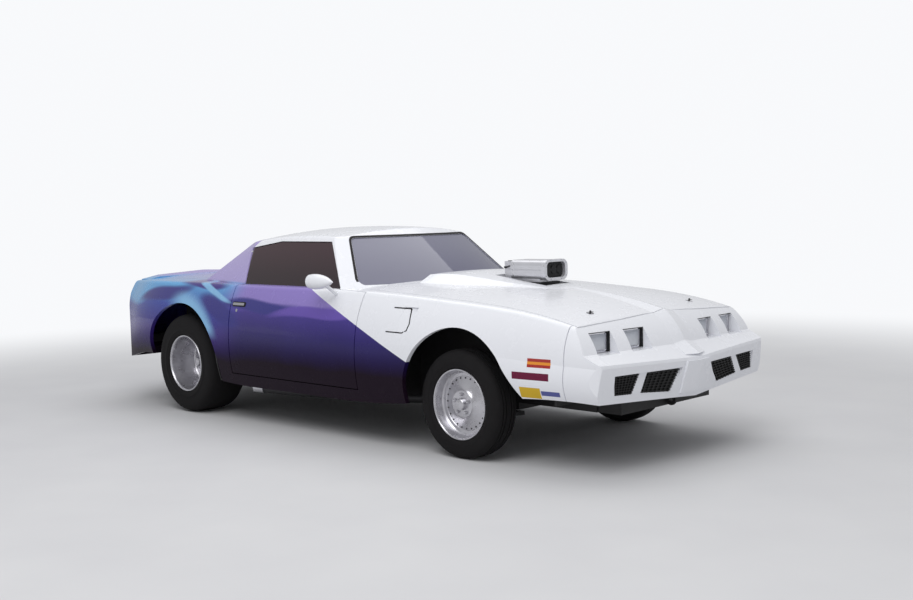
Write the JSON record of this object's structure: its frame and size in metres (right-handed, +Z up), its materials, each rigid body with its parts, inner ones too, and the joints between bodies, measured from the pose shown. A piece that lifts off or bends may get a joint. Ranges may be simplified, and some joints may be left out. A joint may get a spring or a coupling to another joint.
{
  "type": "muscle car",
  "caption": "Two-door drag-prepared coupe with injector hat, doors, bonnet, boot lid, steering and rolling wheels.",
  "frame": {"origin": "centre of the car's bounding box, on the ground under the tyres", "axes": "+X forward, +Y to the car's left, +Z up"},
  "size_m": [4.975, 2.0204, 1.3342],
  "materials": {
    "underbody": "satin black chassis paint",
    "paint_white": "gloss white car paint",
    "paint_wing": "gloss white car paint running into violet at the rear",
    "paint_violet": "gloss violet and indigo car paint, darker at the foot",
    "paint_blue": "gloss blue car paint with dark purple shapes",
    "smoked_glass": "smoked clear sheet",
    "clear_glass": "clear glass with a blue grey tint",
    "lamp_lens": "clear ribbed lens",
    "tail_lens": "gloss red lens",
    "grille_black": "matt black",
    "cast_metal": "cast and machined",
    "hat_alloy": "satin cast aluminium",
    "cage_paint": "satin black paint",
    "cabin_black": "matt black",
    "seat_fabric": "black woven fabric",
    "polished_alloy": "polished",
    "tyre_rubber": "black rubber"
  },
  "bodies": {
    "chassis": {"floor_pan": "underbody", "front_rails": "underbody", "boot_floor": "underbody", "nose_panel": "paint_white", "headlamps": "lamp_lens", "grille_inserts": "grille_black", "cowl_panel": "paint_white", "wing_right": "paint_wing", "wing_left": "paint_wing", "quarter_right": "paint_blue", "quarter_left": "paint_blue", "rear_deck": "paint_blue", "tail_panel": "paint_blue", "tail_lamps": "tail_lens", "roof_panel": "paint_white", "windscreen": "clear_glass", "backlight": "clear_glass", "engine_block": "cast_metal", "injector_hat": "hat_alloy", "control_arms": "underbody", "rear_axle": "underbody", "roll_cage": "cage_paint", "dash_panel": "cabin_black", "steering_wheel": "cabin_black", "race_seat": "seat_fabric"},
    "bonnet": {"bonnet": "paint_white"},
    "boot_lid": {"boot_lid": "paint_blue", "spoiler": "paint_blue"},
    "door_right": {"door_right": "paint_violet", "door_glass_right": "smoked_glass", "mirror_right": "paint_white"},
    "knuckle_right": {"knuckle_right": "cast_metal"},
    "wheel_front_right": {"rim_front_right": "polished_alloy", "tyre_front_right": "tyre_rubber"},
    "wheel_rear_right": {"rim_rear_right": "polished_alloy", "tyre_rear_right": "tyre_rubber"},
    "door_left": {"door_left": "paint_violet", "door_glass_left": "smoked_glass", "mirror_left": "paint_white"},
    "knuckle_left": {"knuckle_left": "cast_metal"},
    "wheel_front_left": {"rim_front_left": "polished_alloy", "tyre_front_left": "tyre_rubber"},
    "wheel_rear_left": {"rim_rear_left": "polished_alloy", "tyre_rear_left": "tyre_rubber"}
  },
  "joints": [
    {"name": "door_right_hinge", "type": "hinge", "parent": "chassis", "child": "door_right", "pos_m": [0.6045, -0.925, 0.6], "axis": [0, 0, 1], "range_deg": [0, 65]},
    {"name": "steer_right", "type": "hinge", "parent": "chassis", "child": "knuckle_right", "pos_m": [1.3975, -0.7, 0.316], "axis": [0, 0, 1], "range_deg": [-28, 28]},
    {"name": "wheel_front_right_spin", "type": "hinge", "parent": "knuckle_right", "child": "wheel_front_right", "pos_m": [1.3975, -0.78, 0.316], "axis": [0, 1, 0], "continuous": true},
    {"name": "wheel_rear_right_spin", "type": "hinge", "parent": "chassis", "child": "wheel_rear_right", "pos_m": [-1.3485, -0.69, 0.361], "axis": [0, 1, 0], "continuous": true},
    {"name": "door_left_hinge", "type": "hinge", "parent": "chassis", "child": "door_left", "pos_m": [0.6045, 0.925, 0.6], "axis": [0, 0, -1], "range_deg": [0, 65]},
    {"name": "steer_left", "type": "hinge", "parent": "chassis", "child": "knuckle_left", "pos_m": [1.3975, 0.7, 0.316], "axis": [0, 0, 1], "range_deg": [-28, 28]},
    {"name": "wheel_front_left_spin", "type": "hinge", "parent": "knuckle_left", "child": "wheel_front_left", "pos_m": [1.3975, 0.78, 0.316], "axis": [0, 1, 0], "continuous": true},
    {"name": "wheel_rear_left_spin", "type": "hinge", "parent": "chassis", "child": "wheel_rear_left", "pos_m": [-1.3485, 0.69, 0.361], "axis": [0, 1, 0], "continuous": true},
    {"name": "bonnet_hinge", "type": "hinge", "parent": "chassis", "child": "bonnet", "pos_m": [0.5755, 0, 0.985], "axis": [0, -1, 0], "range_deg": [0, 55]},
    {"name": "boot_lid_hinge", "type": "hinge", "parent": "chassis", "child": "boot_lid", "pos_m": [-1.6085, 0, 0.982], "axis": [0, 1, 0], "range_deg": [0, 70]}
  ],
  "couplings": [
    {"joint": "steer_left", "follows": "steer_right", "ratio": 1}
  ]
}
